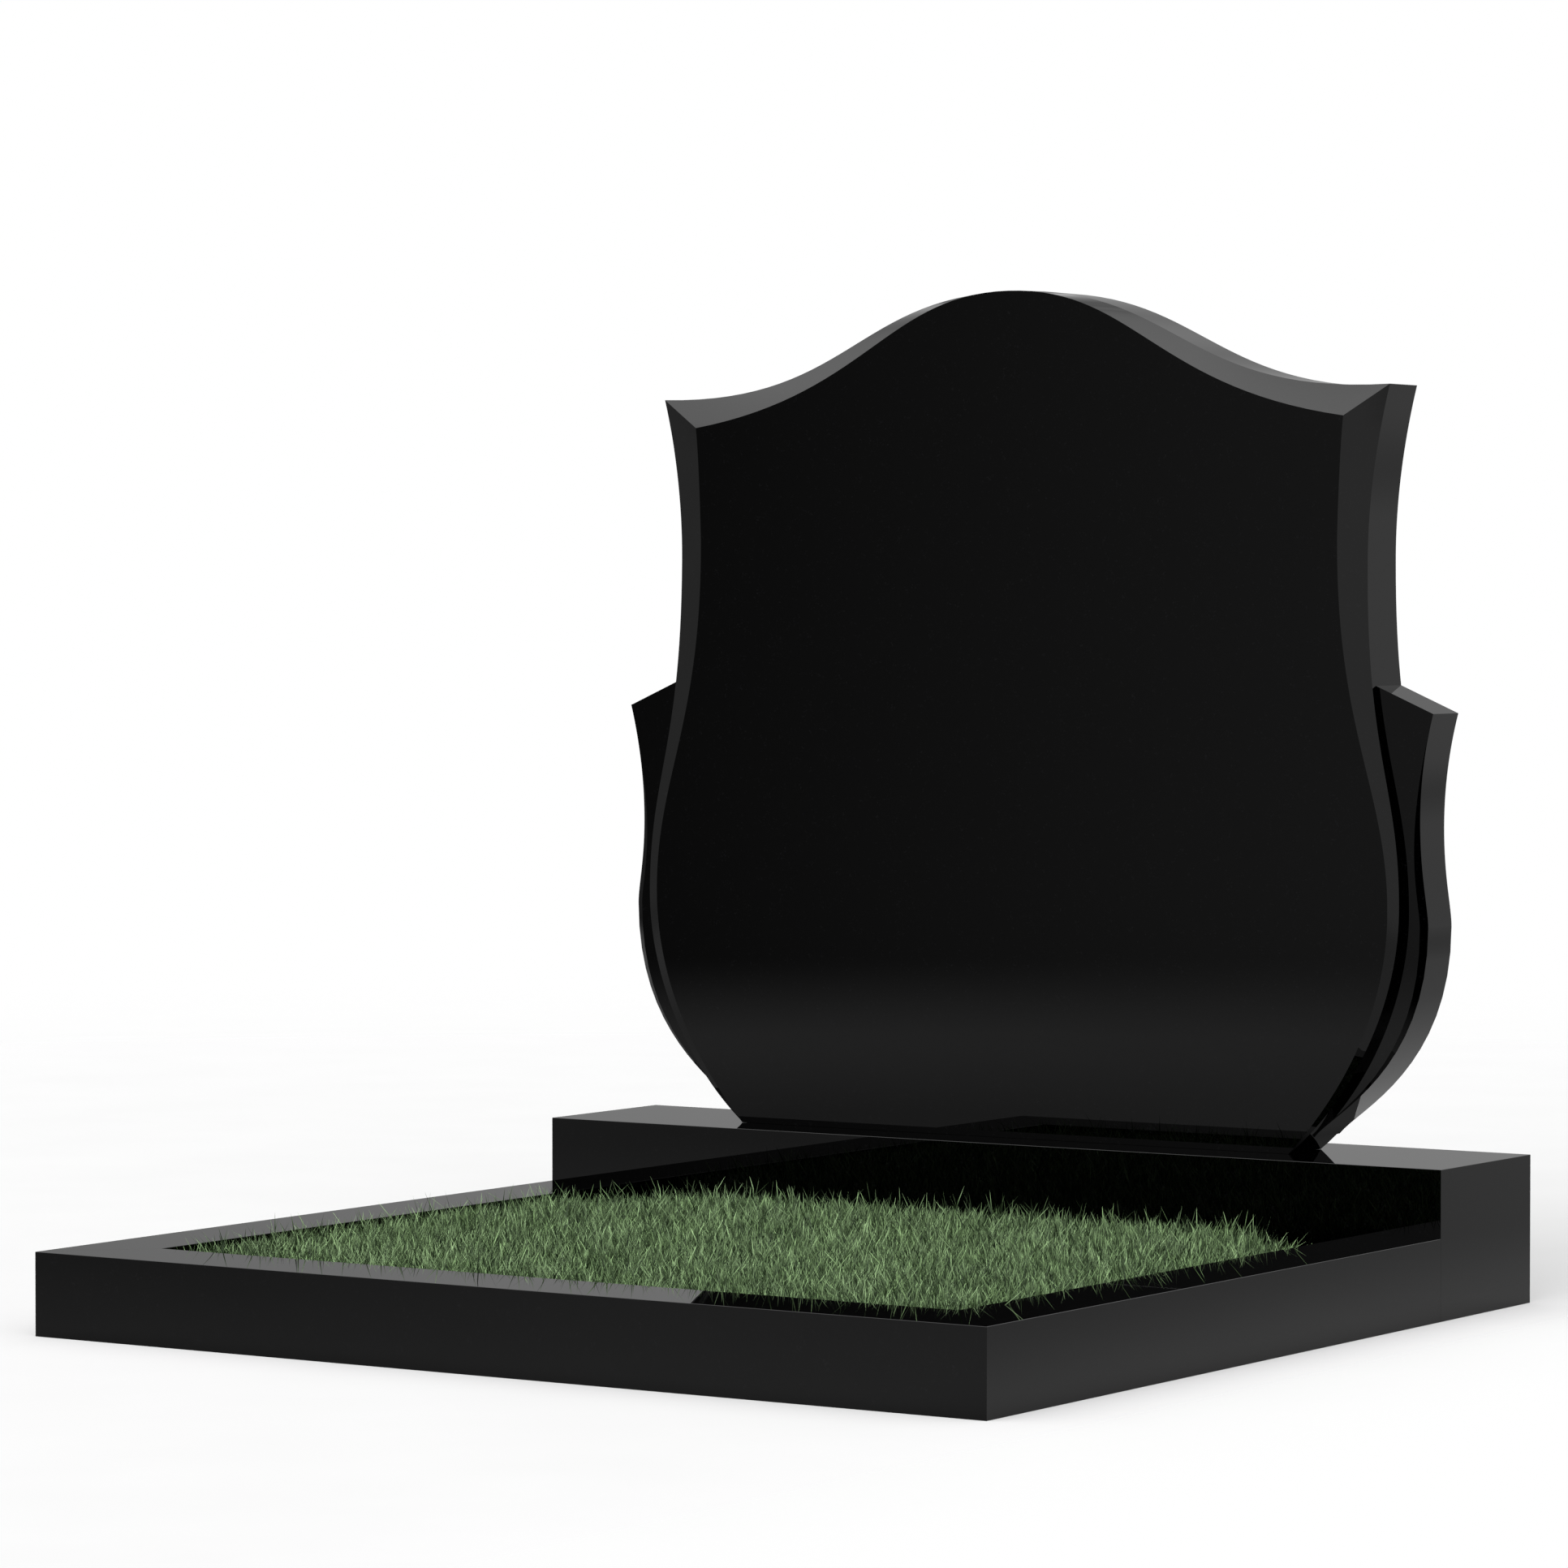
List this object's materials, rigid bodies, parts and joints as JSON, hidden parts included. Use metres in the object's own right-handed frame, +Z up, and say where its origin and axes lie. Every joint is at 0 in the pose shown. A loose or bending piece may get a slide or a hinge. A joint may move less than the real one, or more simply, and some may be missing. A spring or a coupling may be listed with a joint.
{
  "type": "double grave monument",
  "caption": "Polished black granite double grave monument: bevelled waisted headstone with side wings on a plinth, and a kerb set that holds a bed of turf.",
  "frame": {"origin": "on the ground, in the middle of the whole footprint", "axes": "+Z is up, +X runs across the monument to the viewer's right, and the front faces -Y"},
  "size_m": [1.8, 1.751, 1.7237],
  "materials": {
    "polished_granite": "polished",
    "turf": "matte"
  },
  "bodies": {
    "root": {"front_kerb": "polished_granite", "left_kerb": "polished_granite", "right_kerb": "polished_granite", "plinth": "polished_granite", "headstone": "polished_granite", "left_wing": "polished_granite", "right_wing": "polished_granite", "turf_bed": "turf"}
  },
  "joints": []
}
